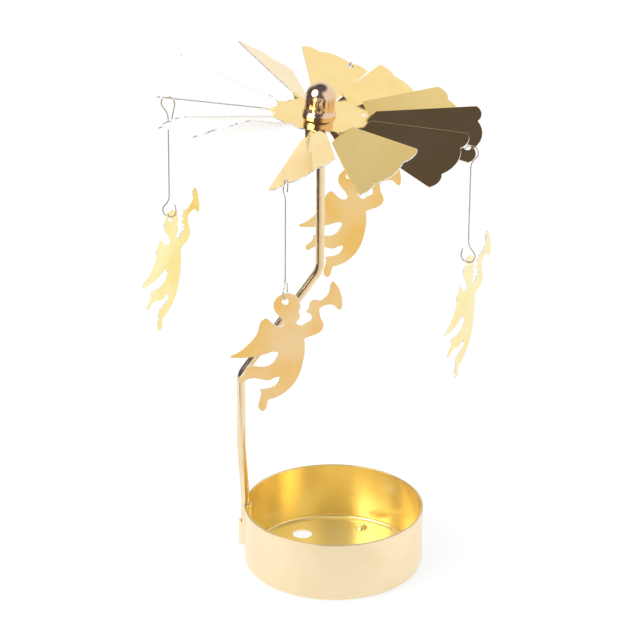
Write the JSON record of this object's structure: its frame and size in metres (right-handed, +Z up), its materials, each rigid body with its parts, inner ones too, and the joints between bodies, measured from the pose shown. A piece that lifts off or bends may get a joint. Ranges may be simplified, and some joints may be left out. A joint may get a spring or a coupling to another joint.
{
  "type": "tealight carousel",
  "caption": "Gold-coloured tealight carousel: a shallow sheet pan, a bent rod stem and a pinwheel with flat trumpet-blowing cherubs on wire hangers that turns in the warm air.",
  "frame": {"origin": "centre of the pan's underside, on the table", "axes": "+Z up; -X towards the stem's leg; -Y towards the side the picture shows"},
  "size_m": [0.0791, 0.0724, 0.1204],
  "materials": {
    "pan_gold": "polished",
    "stem_gold": "polished",
    "pinwheel_gold": "mirror polished",
    "cap_gold": "mirror polished",
    "wire_gold": "satin",
    "figure_gold": "polished"
  },
  "bodies": {
    "pan": {"candle_pan": "pan_gold"},
    "stem": {"stem": "stem_gold"},
    "rotor": {"propeller": "pinwheel_gold", "bearing_cap": "cap_gold"},
    "hanger_right": {"hanger_right": "wire_gold"},
    "angel_right": {"angel_right": "figure_gold"},
    "hanger_back": {"hanger_back": "wire_gold"},
    "angel_back": {"angel_back": "figure_gold"},
    "hanger_left": {"hanger_left": "wire_gold"},
    "angel_left": {"angel_left": "figure_gold"},
    "hanger_front": {"hanger_front": "wire_gold"},
    "angel_front": {"angel_front": "figure_gold"}
  },
  "joints": [
    {"name": "stem_lift", "type": "slide", "parent": "pan", "child": "stem", "axis": [0, 0, 1], "range_m": [0, 0.01]},
    {"name": "rotor_spin", "type": "hinge", "parent": "stem", "child": "rotor", "pos_m": [-0.00375, 0, 0.1173], "axis": [0, 0, 1], "continuous": true},
    {"name": "hanger_right_swing", "type": "hinge", "parent": "rotor", "child": "hanger_right", "pos_m": [0.02936, -0.00677, 0.10603], "axis": [-0.2807, -0.9598, 0], "range_deg": [-8, 45]},
    {"name": "angel_right_swing", "type": "hinge", "parent": "hanger_right", "child": "angel_right", "pos_m": [0.02936, -0.00677, 0.07973], "axis": [-0.2807, -0.9598, 0], "range_deg": [-20, 40]},
    {"name": "hanger_back_swing", "type": "hinge", "parent": "rotor", "child": "hanger_back", "pos_m": [0.00294, 0.03415, 0.11142], "axis": [0.9622, -0.2723, 0], "range_deg": [-8, 45]},
    {"name": "angel_back_swing", "type": "hinge", "parent": "hanger_back", "child": "angel_back", "pos_m": [0.00294, 0.03415, 0.08522], "axis": [0.9622, -0.2723, 0], "range_deg": [-20, 40]},
    {"name": "hanger_left_swing", "type": "hinge", "parent": "rotor", "child": "hanger_left", "pos_m": [-0.03804, 0.00784, 0.11175], "axis": [0.289, 0.9573, 0], "range_deg": [-8, 45]},
    {"name": "angel_left_swing", "type": "hinge", "parent": "hanger_left", "child": "angel_left", "pos_m": [-0.03804, 0.00784, 0.08425], "axis": [0.289, 0.9573, 0], "range_deg": [-20, 40]},
    {"name": "hanger_front_swing", "type": "hinge", "parent": "rotor", "child": "hanger_front", "pos_m": [-0.0111, -0.0336, 0.10772], "axis": [-0.9622, 0.2723, 0], "range_deg": [-8, 45]},
    {"name": "angel_front_swing", "type": "hinge", "parent": "hanger_front", "child": "angel_front", "pos_m": [-0.0111, -0.0336, 0.08182], "axis": [-0.9622, 0.2723, 0], "range_deg": [-20, 40]}
  ]
}
